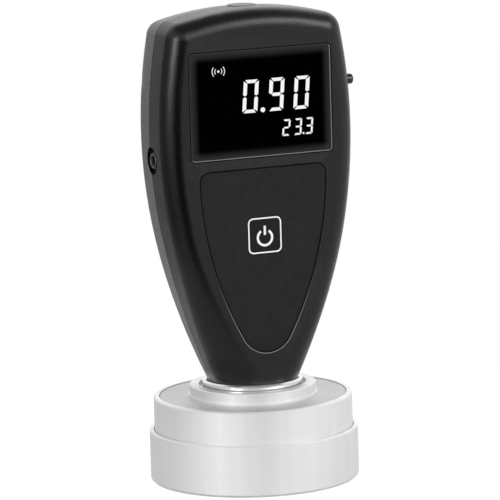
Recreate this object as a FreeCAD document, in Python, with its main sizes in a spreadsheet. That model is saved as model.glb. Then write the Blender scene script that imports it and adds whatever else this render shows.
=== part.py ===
import FreeCAD, Part
import math
import os
import re

import Sketcher
from FreeCAD import Placement, Rotation, Vector

# Handheld meter on a round measuring head, which stands on an open sample cup.
# Origin: centre of the cup's underside. +Z up, the display looks towards -Y.
# Every size is in millimetres and stands once, in the sheet "sizes".

doc = FreeCAD.newDocument("water_activity_meter")
sheet = doc.addObject("Spreadsheet::Sheet", "sizes")
aliases = set()


def size(alias, amount):
    aliases.add(alias)
    cell = "A%d" % len(aliases)
    sheet.set(cell, str(amount))
    sheet.setAlias(cell, alias)


def derive(alias, formula):
    size(alias, "=" + formula)


# Sample cup and dish
size("cup_radius", 33.2)
size("cup_height", 16.4)
size("cup_floor", 3.0)
size("cup_ledge_height", 12.0)
size("cup_pocket_radius", 25.5)
size("cup_edge", 0.8)
size("cup_rim_edge", 0.35)
size("dish_gap", 0.3)
size("dish_height", 8.4)
size("dish_wall", 1.2)

# Measuring head
size("head_radius", 31.6)
size("head_fit", 0.25)
size("head_top", 27.0)
size("head_rim_edge", 0.45)
size("head_floor", 3.5)
size("head_cavity_radius", 26.0)
size("seal_radius", 28.6)
size("seal_wire", 1.0)
size("seal_edge", 0.5)
size("seal_squeeze", 0.1)
size("seal_gap", 0.1)
size("plate_radius", 29.6)
size("plate_gap", 0.25)
size("plate_thickness", 3.0)
size("plate_sink", 0.25)
size("plate_bore", 11.0)
size("head_screw_ring", 22.0)
size("head_post_radius", 3.4)

# Sensor and its guard
size("guard_radius", 9.0)
size("guard_play", 0.05)
size("guard_wall", 0.8)
size("guard_rise", 0.6)
size("guard_flange", 10.2)
size("guard_hole_radius", 0.8)
size("guard_inner_ring", 3.2)
size("guard_outer_ring", 6.2)
size("sensor_board_radius", 13.5)
size("sensor_board_thickness", 1.6)
size("sensor_half", 1.6)
size("sensor_thickness", 1.2)
size("sensor_offset", 2.8)
size("probe_radius", 0.8)
size("probe_length", 1.9)
size("sensor_screw_ring", 11.6)
size("socket_half_width", 3.6)
size("socket_half_depth", 2.6)
size("socket_height", 3.0)
size("lead_radius", 1.5)
size("lead_y", -0.2)

# Collar and the polished ring on which the housing stands
size("collar_radius", 20.1)
size("collar_height", 3.8)
size("collar_bore", 17.1)
size("collar_step_height", 2.4)
size("collar_foot_width", 0.4)
size("collar_foot_height", 0.6)
size("collar_edge", 0.3)
size("collar_screw_ring", 17.8)
size("ring_screw_ring", 13.1)
size("ring_radius", 16.0)
size("ring_edge", 0.5)
size("ring_spigot_radius", 15.3)
size("ring_spigot_gap", 0.1)
size("ring_bore", 7.0)
size("ring_stem_radius", 9.0)
size("ring_flange_radius", 10.5)
size("ring_flange_height", 1.5)

# Housing outline, seen from the front
size("foot_height", 32.2)
size("half_width", 32.5)
size("widest_height", 112.0)
size("side_radius", 163.0)
size("blend_height", 80.0)
size("lower_radius", 221.0)
size("top_height", 151.1)
size("arch_radius", 100.0)
size("corner_radius", 6.0)

# Housing shells
size("front_depth", 13.5)
size("rear_depth", 13.0)
size("rear_draft", 1.3)
size("shoulder", 5.8)
size("neck_shoulder", 11.0)
size("rear_shoulder", 4.6)
size("rear_neck_shoulder", 10.0)
size("wall", 2.2)
size("foot_floor", 2.5)
size("seam_width", 0.3)
size("seam_depth", 0.25)
size("play", 0.05)

# Display window, overlay and power key
size("window_half_width", 24.35)
size("window_half_height", 17.3)
size("window_height", 121.5)
size("window_corner", 1.5)
size("window_sink", 0.1)
size("window_gap", 0.3)
size("window_thickness", 1.5)
size("aperture_half_width", 21.5)
size("aperture_half_height", 14.5)
size("overlay_sink", 0.05)
size("overlay_thickness", 0.35)
size("overlay_gap", 0.15)
size("overlay_top", 100.8)
size("overlay_bottom", 42.55)
size("overlay_half_width", 21.3)
size("overlay_corner", 3.0)
size("overlay_side_radius", 109.8)
size("overlay_tip_radius", 8.6)
size("overlay_tip_x", 7.52)
size("overlay_tip_z", 46.98)
size("key_height", 79.6)
size("key_half", 5.8)
size("key_corner", 1.7)
size("key_gap", 0.15)
size("key_sink", 0.1)
size("key_flange", 0.9)
size("key_flange_thickness", 0.7)
size("key_travel", 0.3)
size("plunger_radius", 1.7)
size("plunger_entry", 0.7)
size("plunger_bore_depth", 1.2)

# Main board and what it carries
size("board_front", 5.0)
size("board_thickness", 1.6)
size("board_margin", 1.2)
size("board_bottom", 54.0)
size("board_top", 139.5)
size("board_post_radius", 2.6)
size("board_low_x", 14.0)
size("board_low_z", 60.0)
size("board_mid_x", 26.0)
size("board_mid_z", 98.0)
size("board_high_x", 25.9)
size("board_high_z", 134.0)
size("lcd_half_width", 22.2)
size("lcd_half_height", 15.6)
size("lcd_thickness", 2.8)
size("frame_wall", 0.8)
size("backlight_inset", 3.2)
size("strip_width", 1.6)
size("strip_inset", 1.0)
size("switch_half", 3.0)
size("switch_height", 3.5)
size("chip_half", 5.0)
size("chip_thickness", 1.4)
size("chip_z", 92.5)
size("amplifier_half", 2.4)
size("amplifier_x", 8.5)
size("amplifier_z", 68.0)
size("capacitor_radius", 2.5)
size("capacitor_length", 4.4)
size("capacitor_x", 9.0)
size("capacitor_z", 67.5)
size("buzzer_radius", 6.0)
size("buzzer_length", 5.4)
size("buzzer_hole", 1.0)
size("buzzer_x", -12.0)
size("buzzer_z", 131.0)
size("connector_half_width", 4.2)
size("connector_height", 5.0)
size("connector_depth", 6.4)
size("connector_bottom", 56.0)

# Side button, data jack and blanking plug
size("button_radius", 1.65)
size("button_gap", 0.1)
size("button_height", 125.8)
size("button_drop", 1.9)
size("button_out", 2.4)
size("button_dome", 0.7)
size("button_flange_radius", 2.6)
size("button_flange_thickness", 0.8)
size("side_plunger_radius", 1.2)
size("side_switch_x", 23.7)
size("side_switch_length", 3.6)
size("side_switch_half", 1.9)
size("jack_height", 104.3)
size("jack_recess_radius", 4.35)
size("jack_recess_depth", 1.5)
size("jack_bore", 1.75)
size("jack_nose_radius", 2.7)
size("jack_nose_sink", 1.2)
size("jack_nose_length", 1.4)
size("jack_half", 2.7)
size("jack_body_length", 6.0)
size("plug_radius", 4.6)
size("plug_seat", 0.6)
size("plug_rise", 0.45)
size("plug_neck_radius", 4.0)
size("plug_barb", 0.35)
size("plug_barb_height", 0.7)
size("plug_gap", 0.1)
size("plug_notch", 0.7)

# Battery bay and door
size("cell_radius", 5.25)
size("cell_length", 44.5)
size("cell_nub_radius", 1.9)
size("cell_nub_height", 1.0)
size("cell_pitch", 10.75)
size("cell_gap", 0.3)
size("spring_length", 4.3)
size("leaf_half", 2.5)
size("leaf_thickness", 0.35)
size("contact_thickness", 0.4)
size("contact_half", 4.2)
size("bay_wall", 1.2)
size("bay_side_gap", 0.5)
size("bay_bottom", 69.4)
size("door_thickness", 1.5)
size("door_gap", 0.2)
size("door_ledge", 0.4)
size("door_foot", 69.2)
size("door_lap", 2.0)
size("door_tab_x", 12.0)
size("door_tab_half", 1.6)
size("door_tab_thickness", 0.8)
size("door_tab_length", 2.2)
size("door_tab_gap", 0.3)
size("door_tab_swing", 3.3)
size("latch_half", 5.0)
size("latch_depth", 3.0)
size("latch_thickness", 1.0)
size("thumb_radius", 8.0)
size("thumb_depth", 0.7)

# Screws: for the case, for plastic posts and for the metal head
size("screw_play", 0.05)
size("case_screw_high_x", 20.5)
size("case_screw_high_z", 143.2)
size("case_screw_low_x", 11.0)
size("case_screw_low_z", 49.5)
size("case_post_radius", 3.2)
size("case_shank", 1.25)
size("case_seat", 7.0)
size("case_head_radius", 2.6)
size("case_head_height", 1.8)
size("case_bite", 8.0)
size("small_shank", 0.9)
size("small_head_radius", 1.8)
size("small_head_height", 1.3)
size("small_bite", 2.4)
size("board_bite", 4.4)
size("metal_shank", 1.25)
size("metal_head_radius", 2.25)
size("metal_head_height", 1.5)
size("metal_bite", 2.2)
size("head_sink_gap", 0.3)
size("hole_spare", 0.6)

# Heights and centres that follow from the sizes above
derive("rim_bore", "head_radius + head_fit")
derive("head_floor_top", "cup_ledge_height + head_floor")
derive("head_screw_seat", "cup_ledge_height + head_sink_gap + metal_head_height")
derive("plate_top", "head_top - plate_sink")
derive("plate_bottom", "plate_top - plate_thickness")
derive("guard_foot", "cup_ledge_height + guard_rise")
derive("guard_seat", "head_floor_top - guard_wall")
derive("sensor_board_top", "head_floor_top + sensor_board_thickness")
derive("socket_top", "sensor_board_top + socket_height")
derive("collar_top", "plate_top + collar_height")
derive("collar_step", "plate_top + collar_step_height")
derive("foot_floor_top", "foot_height + foot_floor")
derive("side_x", "half_width - side_radius")
derive("blend_x", "side_x + sqrt(side_radius^2 - (blend_height - widest_height)^2)")
derive("normal_x", "(blend_x - side_x) / side_radius")
derive("normal_z", "(blend_height - widest_height) / side_radius")
derive("lower_x", "blend_x - normal_x * lower_radius")
derive("lower_z", "blend_height - normal_z * lower_radius")
derive("arch_z", "top_height - arch_radius")
derive("centre_gap", "sqrt(side_x^2 + (arch_z - widest_height)^2)")
derive("along_x", "-side_x / centre_gap")
derive("along_z", "(arch_z - widest_height) / centre_gap")
derive("side_reach", "side_radius - corner_radius")
derive("arch_reach", "arch_radius - corner_radius")
derive("run", "(side_reach^2 - arch_reach^2 + centre_gap^2) / (2 * centre_gap)")
derive("rise", "sqrt(side_reach^2 - run^2)")
derive("corner_x", "side_x + along_x * run - along_z * rise")
derive("corner_z", "widest_height + along_z * run + along_x * rise")
derive("inner_front", "front_depth - wall")
derive("inner_rear", "rear_depth - wall")
derive("board_back", "board_front - board_thickness")
derive("window_seat", "front_depth - window_sink - window_thickness")
derive("button_y", "board_front + button_drop")
derive("button_wall", "side_x + sqrt(side_radius^2 - (button_height - widest_height)^2)")
derive("button_inner", "button_wall - wall - button_gap")
derive("side_switch_end", "side_switch_x + side_switch_length")
derive("jack_wall", "side_x + sqrt(side_radius^2 - (jack_height - widest_height)^2)")
derive("jack_y", "jack_half - board_back")
derive("jack_mouth", "jack_wall - jack_nose_sink")
derive("jack_body", "jack_mouth - jack_nose_length")
derive("door_under", "rear_depth - door_thickness")
derive("cell_y", "door_under - cell_gap - cell_radius")
derive("bay_half", "2 * cell_pitch + bay_side_gap")
derive("bay_floor_top", "cell_y - cell_radius - cell_gap")
derive("contact_low", "bay_bottom + bay_wall + contact_thickness")
derive("contact_high", "contact_low + spring_length + cell_length")
derive("bay_top", "contact_high + contact_thickness + bay_wall")
derive("door_half", "bay_half + door_ledge")
derive("door_top", "bay_top + door_lap")
derive("latch_low", "bay_top - bay_wall + door_tab_gap")
derive("switch_top", "board_front + switch_height")
derive("key_back", "inner_front - key_flange_thickness")
doc.recompute()

BEYOND = "60"


def value(text):
    amount = sheet.evalExpression(text)
    return float(getattr(amount, "Value", amount))


def linked(text):
    # The sheet's names in a formula, written so that other objects can follow them
    return re.sub(r"[a-z][a-z0-9_]*", lambda m: "sizes." + m[0] if m[0] in aliases else m[0], text)


def bind(obj, formulas):
    for prop, text in formulas.items():
        obj.setExpression(prop, linked(text))
    return obj


# Primitives whose sizes and places follow the sheet

AXES = {"X": Vector(1, 0, 0), "Y": Vector(0, 1, 0), "Z": Vector(0, 0, 1)}
TURNS = {"X": Rotation(Vector(0, 1, 0), 90), "Y": Rotation(Vector(1, 0, 0), -90), "Z": Rotation()}


def box(name, low, high):
    # A box between two corners
    obj = doc.addObject("Part::Box", name)
    spans = ["(%s) - (%s)" % (b, a) for a, b in zip(low, high)]
    bind(obj, {"Length": spans[0], "Width": spans[1], "Height": spans[2]})
    return bind(obj, {"Placement.Base.x": low[0], "Placement.Base.y": low[1], "Placement.Base.z": low[2]})


def rod(name, radius, axis, start, end, at):
    # A cylinder along an axis; at holds its other two coordinates in the order x, y, z
    obj = doc.addObject("Part::Cylinder", name)
    obj.Placement.Rotation = TURNS[axis]
    bind(obj, {"Radius": radius, "Height": "(%s) - (%s)" % (end, start)})
    x, y, z = {"X": (start, *at), "Y": (at[0], start, at[1]), "Z": (*at, start)}[axis]
    return bind(obj, {"Placement.Base.x": x, "Placement.Base.y": y, "Placement.Base.z": z})


def fuse(name, pieces):
    obj = doc.addObject("Part::MultiFuse", name)
    obj.Shapes = pieces
    return obj


def group(name, pieces):
    obj = doc.addObject("Part::Compound", name)
    obj.Links = pieces
    return obj


def cut(name, base, tools):
    obj = doc.addObject("Part::Cut", name)
    obj.Base = base
    obj.Tool = tools[0] if len(tools) == 1 else fuse(name + "_tools", tools)
    return obj


def common(name, first, second):
    obj = doc.addObject("Part::Common", name)
    obj.Base = first
    obj.Tool = second
    return obj


def ring_of(name, ring, angles, make):
    # The same piece at several angles round Z; make gets a name and the two coordinates
    places = [("%s * cos(%d)" % (ring, angle), "%s * sin(%d)" % (ring, angle)) for angle in angles]
    return [make("%s_%d" % (name, number), at) for number, at in enumerate(places, 1)]


def rounded(name, base, radius, axis):
    # One fillet radius on the edges that run along an axis
    doc.recompute()
    obj = doc.addObject("Part::Fillet", name)
    obj.Base = base
    straight = [edge.tangentAt(edge.FirstParameter) for edge in base.Shape.Edges]
    obj.Edges = [(i, value(radius), value(radius)) for i, t in enumerate(straight, 1)
                 if abs(t.dot(AXES[axis])) > 0.99]
    return obj


# Bodies drawn as sketches

def sketch_in(body, name, role, offset=None):
    sketch = body.newObject("Sketcher::SketchObject", name)
    origin = [feature for feature in body.Origin.OriginFeatures if feature.Role == role][0]
    sketch.AttachmentSupport = [(origin, "")]
    sketch.MapMode = "FlatFace"
    if offset:
        bind(sketch, {"AttachmentOffset.Base.z": offset})
    doc.recompute()
    return sketch


def draw(sketch, corners, arcs):
    # A closed outline. arcs maps an edge to its radius; every arc bulges to the right of its
    # chord, which is outwards, since the corners run counter-clockwise.
    points = [Vector(value(x), value(y), 0) for x, y in corners]
    count = len(points)
    starts = []
    for index, start in enumerate(points):
        end = points[(index + 1) % count]
        if index in arcs:
            chord = end - start
            right = Vector(chord.y, -chord.x, 0).normalize()
            radius = value(arcs[index])
            bulge = radius - math.sqrt(radius ** 2 - chord.Length ** 2 / 4)
            sketch.addGeometry(Part.Arc(start, (start + end) * 0.5 + right * bulge, end), False)
        else:
            sketch.addGeometry(Part.LineSegment(start, end), False)
        starts.append(1 if (sketch.Geometry[index].StartPoint - start).Length < 1e-6 else 2)
    for index, (x, y) in enumerate(corners):
        after = (index + 1) % count
        joined = Sketcher.Constraint("Coincident", index, 3 - starts[index], after, starts[after])
        sketch.addConstraint(joined)
        for kind, text in (("DistanceX", x), ("DistanceY", y)):
            limit = Sketcher.Constraint(kind, -1, 1, index, starts[index], value(text))
            bind(sketch, {"Constraints[%d]" % sketch.addConstraint(limit): text})
    for index, radius in arcs.items():
        limit = Sketcher.Constraint("Radius", index, value(radius))
        bind(sketch, {"Constraints[%d]" % sketch.addConstraint(limit): radius})


def turned(name, corners, arcs=None):
    # A lathe part: its half section, radius first, turned once round Z
    body = doc.addObject("PartDesign::Body", name)
    sketch = sketch_in(body, name + "_section", "XZ_Plane")
    draw(sketch, corners, arcs or {})
    turn = body.newObject("PartDesign::Revolution", name + "_turn")
    turn.Profile = sketch
    turn.ReferenceAxis = (sketch, ["V_Axis"])
    turn.Angle = 360.0
    doc.recompute()
    return body


def slab(name, corners, arcs, back, front):
    # An outline seen from the front, raised between two depths ahead of the parting plane
    body = doc.addObject("PartDesign::Body", name)
    sketch = sketch_in(body, name + "_outline", "XZ_Plane", back)
    draw(sketch, corners, arcs)
    pad = body.newObject("PartDesign::Pad", name + "_pad")
    pad.Profile = sketch
    bind(pad, {"Length": "(%s) - (%s)" % (front, back)})
    doc.recompute()
    return body


def screw(name, kind, axis, at, seat, way, length):
    # A pan head against its seat and a shank that goes on along the axis
    head_end = "(%s) + %d * %s_head_height" % (seat, -way, kind)
    tip = "(%s) + %d * (%s)" % (seat, way, length)
    head = rod(name + "_head", kind + "_head_radius", axis, *sorted([seat, head_end], key=value), at)
    shank = rod(name + "_shank", kind + "_shank", axis, *sorted([seat, tip], key=value), at)
    return fuse(name, [head, shank])


# Sample cup and dish

sample_cup = turned("sample_cup", [
    ("0", "0"), ("cup_radius - cup_edge", "0"), ("cup_radius", "cup_edge"),
    ("cup_radius", "cup_height - cup_rim_edge"), ("cup_radius - cup_rim_edge", "cup_height"),
    ("rim_bore", "cup_height"), ("rim_bore", "cup_ledge_height"),
    ("cup_pocket_radius", "cup_ledge_height"), ("cup_pocket_radius", "cup_floor"), ("0", "cup_floor")])

dish_radius = "cup_pocket_radius - dish_gap"
sample_dish = turned("sample_dish", [
    ("0", "cup_floor"), (dish_radius, "cup_floor"), (dish_radius, "cup_floor + dish_height"),
    (dish_radius + " - dish_wall", "cup_floor + dish_height"),
    (dish_radius + " - dish_wall", "cup_floor + dish_wall"), ("0", "cup_floor + dish_wall")])

# Measuring head: a drum with a seal groove below, a plate let into its top and a sensor
# behind a perforated guard in the middle of its floor

POST_ANGLES = (90, 210, 330)
COLLAR_ANGLES = (30, 150, 270)
guard_bore = "guard_radius + guard_play"

drum = turned("drum", [
    (guard_bore, "cup_ledge_height"), ("head_radius", "cup_ledge_height"),
    ("head_radius", "head_top - head_rim_edge"), ("head_radius - head_rim_edge", "head_top"),
    ("plate_radius + plate_gap", "head_top"), ("plate_radius + plate_gap", "plate_bottom"),
    ("head_cavity_radius", "plate_bottom"), ("head_cavity_radius", "head_floor_top"),
    ("guard_flange + guard_play", "head_floor_top"), ("guard_flange + guard_play", "guard_seat"),
    (guard_bore, "guard_seat")])
seal_in, seal_out = "seal_radius - seal_wire - seal_gap", "seal_radius + seal_wire + seal_gap"
seal_low, seal_high = "cup_ledge_height - seal_wire", "cup_ledge_height + 2 * seal_wire - seal_squeeze"
seal_groove = turned("seal_groove", [
    (seal_in, seal_low), (seal_out, seal_low), (seal_out, seal_high), (seal_in, seal_high)])
posts = ring_of("head_post", "head_screw_ring", POST_ANGLES, lambda name, at:
                rod(name, "head_post_radius", "Z", "head_floor_top - 1", "plate_bottom", at))
clearances = ring_of("head_clearance", "head_screw_ring", POST_ANGLES, lambda name, at:
                     rod(name, "metal_shank + screw_play", "Z", "cup_ledge_height - 1", BEYOND, at))
sinks = ring_of("head_sink", "head_screw_ring", POST_ANGLES, lambda name, at:
                rod(name, "metal_head_radius + head_sink_gap", "Z", "cup_ledge_height - 1",
                    "head_screw_seat", at))
sensor_pilots = ring_of("sensor_pilot", "sensor_screw_ring", POST_ANGLES, lambda name, at:
                        rod(name, "small_shank", "Z", "head_floor_top - small_bite", "head_floor_top", at))
measuring_head = cut("measuring_head", fuse("drum_with_posts", [drum] + posts),
                     [seal_groove] + clearances + sinks + sensor_pilots)

ring_in, ring_out = "seal_radius - seal_wire", "seal_radius + seal_wire"
ring_low, ring_top = "cup_ledge_height", "cup_ledge_height + 2 * seal_wire - seal_squeeze"
head_seal = turned("head_seal", [
    (ring_in + " + seal_edge", ring_low), (ring_out + " - seal_edge", ring_low),
    (ring_out, ring_low + " + seal_edge"), (ring_out, ring_top + " - seal_edge"),
    (ring_out + " - seal_edge", ring_top), (ring_in + " + seal_edge", ring_top),
    (ring_in, ring_top + " - seal_edge"), (ring_in, ring_low + " + seal_edge")])

plate_disc = turned("plate_disc", [
    ("plate_bore", "plate_bottom"), ("plate_radius", "plate_bottom"), ("plate_radius", "plate_top"),
    ("plate_bore", "plate_top")])
plate_pilots = ring_of("plate_pilot", "head_screw_ring", POST_ANGLES, lambda name, at:
                       rod(name, "metal_shank", "Z", "plate_bottom - 1", "plate_bottom + metal_bite", at))
collar_holes = ring_of("collar_hole", "collar_screw_ring", COLLAR_ANGLES, lambda name, at:
                       rod(name, "metal_shank + screw_play", "Z", "0", BEYOND, at))
ring_holes = ring_of("ring_hole", "ring_screw_ring", POST_ANGLES, lambda name, at:
                     rod(name, "metal_shank + screw_play", "Z", "0", BEYOND, at))
head_plate = cut("head_plate", plate_disc, plate_pilots + collar_holes + ring_holes)
head_screws = group("head_screws", ring_of(
    "head_screw", "head_screw_ring", POST_ANGLES, lambda name, at:
    screw(name, "metal", "Z", at, "head_screw_seat", 1, "plate_bottom + metal_bite - head_screw_seat")))

# Sensor, guard, their board and the lead to the main board

guard_cap = turned("guard_cap", [
    ("0", "guard_foot"), ("guard_radius", "guard_foot"), ("guard_radius", "guard_seat"),
    ("guard_flange", "guard_seat"), ("guard_flange", "head_floor_top"),
    ("guard_radius - guard_wall", "head_floor_top"),
    ("guard_radius - guard_wall", "guard_foot + guard_wall"), ("0", "guard_foot + guard_wall")])
guard_holes = [rod("guard_hole", "guard_hole_radius", "Z", "0", BEYOND, ("0", "0"))]
guard_holes += ring_of("guard_hole_in", "guard_inner_ring", range(0, 360, 60), lambda name, at:
                       rod(name, "guard_hole_radius", "Z", "0", BEYOND, at))
guard_holes += ring_of("guard_hole_out", "guard_outer_ring", range(15, 360, 30), lambda name, at:
                       rod(name, "guard_hole_radius", "Z", "0", BEYOND, at))
sensor_guard = cut("sensor_guard", guard_cap, guard_holes)

sensor_holes = ring_of("sensor_board_hole", "sensor_screw_ring", POST_ANGLES, lambda name, at:
                       rod(name, "small_shank + screw_play", "Z", "0", BEYOND, at))
sensor_board = cut("sensor_board", rod("sensor_disc", "sensor_board_radius", "Z", "head_floor_top",
                                       "sensor_board_top", ("0", "0")), sensor_holes)
humidity_sensor = box("humidity_sensor",
                      ("sensor_offset - sensor_half", "-sensor_half", "head_floor_top - sensor_thickness"),
                      ("sensor_offset + sensor_half", "sensor_half", "head_floor_top"))
temperature_sensor = rod("temperature_sensor", "probe_radius", "Z", "head_floor_top - probe_length",
                         "head_floor_top", ("-sensor_offset", "0"))
sensor_socket = box("sensor_socket", ("-socket_half_width", "lead_y - socket_half_depth", "sensor_board_top"),
                    ("socket_half_width", "lead_y + socket_half_depth", "socket_top"))
sensor_lead = rod("sensor_lead", "lead_radius", "Z", "socket_top", "connector_bottom", ("0", "lead_y"))
sensor_screws = group("sensor_screws", ring_of(
    "sensor_screw", "sensor_screw_ring", POST_ANGLES, lambda name, at:
    screw(name, "small", "Z", at, "sensor_board_top", -1, "sensor_board_thickness + small_bite")))

# Collar, polished ring and the screws that hold both from below the plate

collar_in = "ring_spigot_radius + ring_spigot_gap"
collar_turn = turned("collar_turn", [
    (collar_in, "plate_top"), ("collar_radius + collar_foot_width", "plate_top"),
    ("collar_radius + collar_foot_width", "plate_top + collar_foot_height"),
    ("collar_radius", "plate_top + collar_foot_height"), ("collar_radius", "collar_top - collar_edge"),
    ("collar_radius - collar_edge", "collar_top"), ("collar_bore", "collar_top"),
    ("collar_bore", "collar_step"), (collar_in, "collar_step")])
collar_pilots = ring_of("collar_pilot", "collar_screw_ring", COLLAR_ANGLES, lambda name, at:
                        rod(name, "metal_shank", "Z", "0", "plate_top + metal_bite", at))
head_collar = cut("head_collar", collar_turn, collar_pilots)

ring_turn = turned("ring_turn", [
    ("ring_bore", "plate_top"), ("ring_spigot_radius", "plate_top"), ("ring_spigot_radius", "collar_step"),
    ("ring_radius", "collar_step"), ("ring_radius", "foot_height - ring_edge"),
    ("ring_radius - ring_edge", "foot_height"), ("ring_stem_radius", "foot_height"),
    ("ring_stem_radius", "foot_floor_top"), ("ring_flange_radius", "foot_floor_top"),
    ("ring_flange_radius", "foot_floor_top + ring_flange_height"),
    ("ring_bore", "foot_floor_top + ring_flange_height")])
ring_pilots = ring_of("ring_pilot", "ring_screw_ring", POST_ANGLES, lambda name, at:
                      rod(name, "metal_shank", "Z", "0", "plate_top + metal_bite", at))
neck_ring = cut("neck_ring", ring_turn, ring_pilots)
neck_screws = group("neck_screws", ring_of(
    "collar_screw", "collar_screw_ring", COLLAR_ANGLES, lambda name, at:
    screw(name, "metal", "Z", at, "plate_bottom", 1, "plate_thickness + metal_bite")) + ring_of(
    "ring_screw", "ring_screw_ring", POST_ANGLES, lambda name, at:
    screw(name, "metal", "Z", at, "plate_bottom", 1, "plate_thickness + metal_bite")))

# Housing forms. Two arcs on each side, a flat arch on top and a foot of the ring's width;
# the shoulder round the face grows wider towards the foot.

def outline(inset, y):
    side = Vector(value("side_x"), 0, value("widest_height"))
    arch = Vector(0, 0, value("arch_z"))
    lower = Vector(value("lower_x"), 0, value("lower_z"))
    corner = Vector(value("corner_x"), 0, value("corner_z"))
    side_radius, arch_radius = value("side_radius") - inset, value("arch_radius") - inset
    lower_radius, corner_radius = value("lower_radius") - inset, value("corner_radius") - inset
    foot_z = value("foot_height")
    foot = Vector(lower.x + math.sqrt(lower_radius ** 2 - (foot_z - lower.z) ** 2), 0, foot_z)
    blend = Vector(value("blend_x"), 0, value("blend_height"))
    blend -= Vector(value("normal_x"), 0, value("normal_z")) * inset
    out = side + (corner - side).normalize() * side_radius
    over = arch + (corner - arch).normalize() * arch_radius

    def mirrored(point):
        return Vector(-point.x, point.y, point.z)

    def arc(start, end, centre, radius):
        middle = centre + ((start + end) * 0.5 - centre).normalize() * radius
        return (start, middle, end)

    right = [arc(foot, blend, lower, lower_radius), arc(blend, out, side, side_radius),
             arc(out, over, corner, corner_radius)]
    arcs = right + [(over, arch + Vector(0, 0, arch_radius), mirrored(over))]
    arcs += [tuple(mirrored(p) for p in reversed(a)) for a in reversed(right)]
    edges = [Part.Arc(*points).toShape() for points in arcs]
    wire = Part.Wire(edges + [Part.LineSegment(mirrored(foot), foot).toShape()])
    wire.translate(Vector(0, y, 0))
    return wire


def form(name, shape):
    obj = doc.addObject("Part::Feature", name)
    obj.Shape = shape
    obj.Placement = Placement()
    return obj


def shouldered(name, base, face_y, radius, foot_radius):
    # Rounds the edges of the face, with another radius where they meet the foot
    foot = value("foot_height")
    edges = []
    for index, edge in enumerate(base.Shape.Edges, 1):
        ends = [edge.Vertexes[0].Point, edge.Vertexes[-1].Point]
        on_foot = [abs(end.z - foot) < 1e-3 for end in ends]
        if all(on_foot) or any(abs(end.y - face_y) > 1e-3 for end in ends):
            continue
        edges.append((index, *(value(foot_radius if low else radius) for low in on_foot)))
    obj = doc.addObject("Part::Fillet", name)
    obj.Base = base
    obj.Edges = edges
    doc.recompute()
    return obj


def front_form(name, inset, shoulder, foot_shoulder):
    depth = value("front_depth") - value(inset)
    block = Part.Face(outline(value(inset), -depth)).extrude(Vector(0, depth, 0))
    return shouldered(name, form(name + "_block", block), -depth, shoulder, foot_shoulder)


def rear_form(name, inset, shoulder, foot_shoulder):
    depth = value("rear_depth") - value(inset)
    draft = value("rear_draft") * depth / value("rear_depth")
    block = Part.makeLoft([outline(value(inset), 0), outline(value(inset) + draft, depth)], True, True)
    return shouldered(name, form(name + "_block", block), depth, shoulder, foot_shoulder)


def above(name, shape, z):
    # What of a form lies above a height
    return common(name, shape, box(name + "_space", ("-" + BEYOND, "-" + BEYOND, z), (BEYOND, BEYOND, "200")))


front_outer = front_form("front_outer", "0", "shoulder", "neck_shoulder")
front_inner = front_form("front_inner", "wall", "shoulder - wall", "neck_shoulder - wall")
rear_outer = rear_form("rear_outer", "0", "rear_shoulder", "rear_neck_shoulder")
rear_inner = rear_form("rear_inner", "wall", "rear_shoulder - wall", "rear_neck_shoulder - wall")
seam_half = value("seam_width") / 2
seam = Part.Face(outline(-1.0, -seam_half)).cut(Part.Face(outline(value("seam_depth"), -seam_half)))
seam_line = form("seam_line", seam.extrude(Vector(0, 2 * seam_half, 0)))

# Openings that cross the parting plane and so are cut from both shells

jack_at = ("jack_y", "jack_height")
jack_recess = rod("jack_recess", "jack_recess_radius", "X", "-" + BEYOND,
                  "-(jack_wall - jack_recess_depth)", jack_at)
jack_hole = rod("jack_hole", "jack_nose_radius + button_gap", "X", "-" + BEYOND, "-jack_body", jack_at)
plug_recess = rod("plug_recess", "plug_radius + plug_gap", "Z", "top_height - plug_seat", "200", ("0", "0"))
plug_hole = rod("plug_hole", "plug_neck_radius + plug_gap", "Z", "top_height - 2 * wall", "200", ("0", "0"))
neck_hole = rod("neck_hole", "ring_stem_radius + play", "Z", "0", "foot_floor_top", ("0", "0"))
shared_cuts = [jack_recess, jack_hole, plug_recess, plug_hole, neck_hole, seam_line]

# Front shell with its posts, window pocket, overlay pocket and key hole

BOARD_PLACES = [(side + "board_%s_x" % row, "board_%s_z" % row) for row in ("low", "mid", "high")
                for side in ("", "-")]
CASE_PLACES = [(side + "case_screw_%s_x" % row, "case_screw_%s_z" % row) for row in ("high", "low")
               for side in ("", "-")]


def all_rods(name, radius, start, end, places):
    return [rod("%s_%d" % (name, number), radius, "Y", start, end, at) for number, at in enumerate(places, 1)]


def plate_about(name, half_width, half_height, z, back, front, corner=None):
    # A rectangle round (0, z) seen from the front, between two depths
    low = ("-(%s)" % half_width, "-(%s)" % front, "%s - (%s)" % (z, half_height))
    high = (half_width, "-(%s)" % back, "%s + %s" % (z, half_height))
    block = box(name + "_block" if corner else name, low, high)
    return rounded(name, block, corner, "Y") if corner else block


def overlay_slab(name, gap, back, front):
    # The overlay's outline, widened by a gap: straight top, long side arcs and a round tip
    tip_x = "overlay_tip_x * (1 + (%s) / overlay_tip_radius)" % gap
    tip_z = "overlay_tip_z + (overlay_tip_z - overlay_bottom - overlay_tip_radius) * (%s)" % gap
    tip_z += " / overlay_tip_radius"
    wide = "overlay_half_width + %s" % gap
    top = "overlay_top + %s" % gap
    near, bend = "overlay_half_width - overlay_corner", "overlay_top - overlay_corner"
    side, corner = "overlay_side_radius + %s" % gap, "overlay_corner + %s" % gap
    corners = [(tip_x, tip_z), (wide, bend), (near, top), ("-(%s)" % near, top), ("-(%s)" % wide, bend),
               ("-(%s)" % tip_x, tip_z)]
    arcs = {0: side, 1: corner, 3: corner, 4: side, 5: "overlay_tip_radius + %s" % gap}
    return slab(name, corners, arcs, back, front)


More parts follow.
